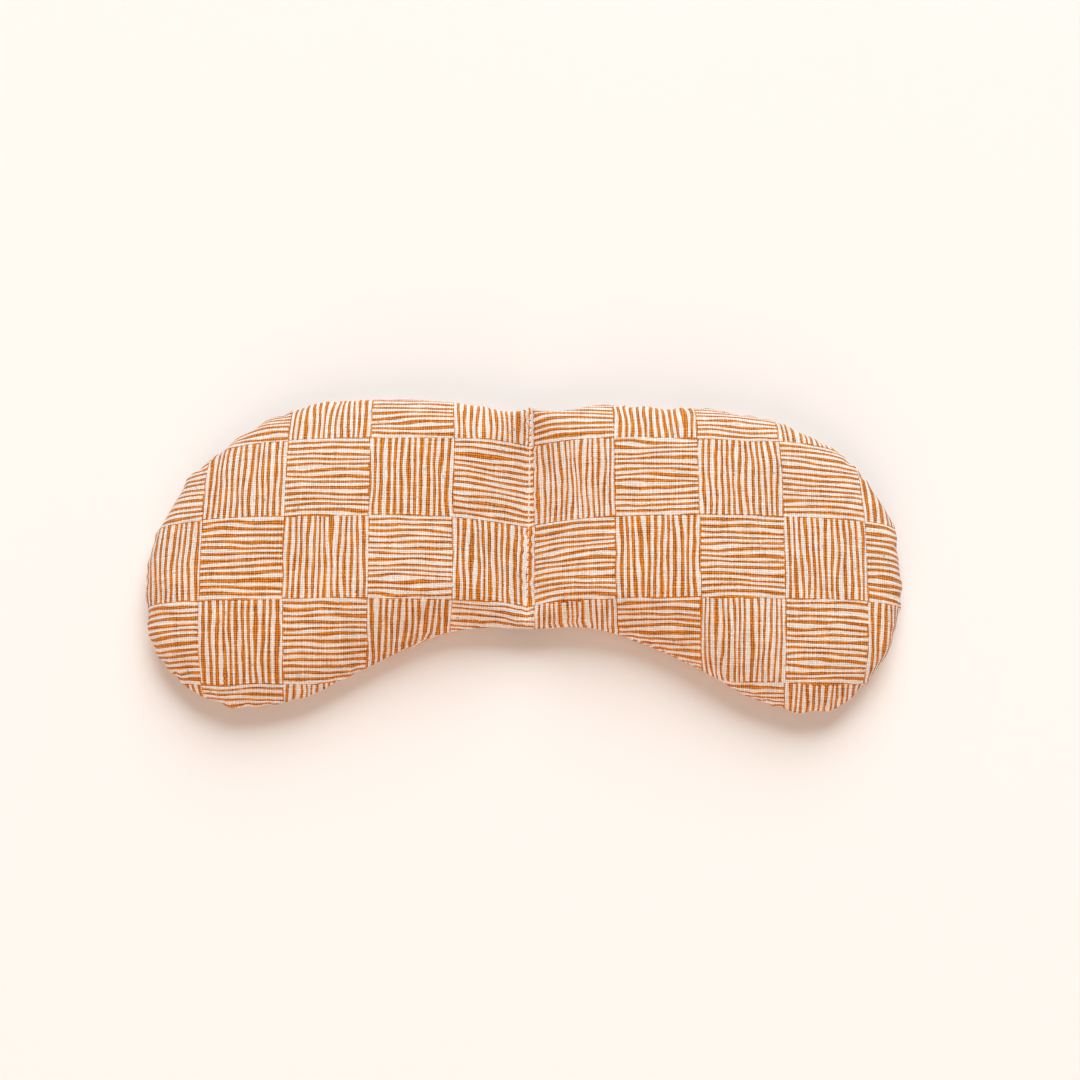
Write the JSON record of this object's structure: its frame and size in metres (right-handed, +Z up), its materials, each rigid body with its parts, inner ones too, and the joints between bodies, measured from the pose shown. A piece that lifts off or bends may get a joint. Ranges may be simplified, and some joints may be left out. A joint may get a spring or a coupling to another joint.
{
  "type": "eye pillow",
  "caption": "Contoured fabric eye pillow with two grain-filled lobes, an arch over the nose, and a stitched fold line between the lobes.",
  "frame": {"origin": "on the surface that the pillow lies on, under the middle of its bounding box", "axes": "+X along the pillow towards its right lobe, +Y towards the forehead edge, +Z up through the front panel"},
  "size_m": [0.24, 0.1008, 0.022],
  "materials": {
    "printed_cloth": "matte woven cotton with a printed line pattern",
    "grain": "loose dry flax seed",
    "thread": "matte spun polyester"
  },
  "bodies": {
    "left_lobe": {"front_panel": "printed_cloth", "back_panel": "printed_cloth", "fold_needle_thread": "thread", "fold_bobbin_thread": "thread", "left_grain_fill": "grain", "left_seam_needle_thread": "thread", "left_seam_bobbin_thread": "thread", "left_closing_thread": "thread"},
    "right_lobe": {"right_grain_fill": "grain", "right_seam_needle_thread": "thread", "right_seam_bobbin_thread": "thread", "right_closing_thread": "thread"}
  },
  "joints": [
    {"name": "middle_fold", "type": "hinge", "parent": "left_lobe", "child": "right_lobe", "pos_m": [0, 0, 0.007], "axis": [0, -1, 0], "range_deg": [-60, 90], "deforming": ["front_panel", "back_panel"]}
  ]
}
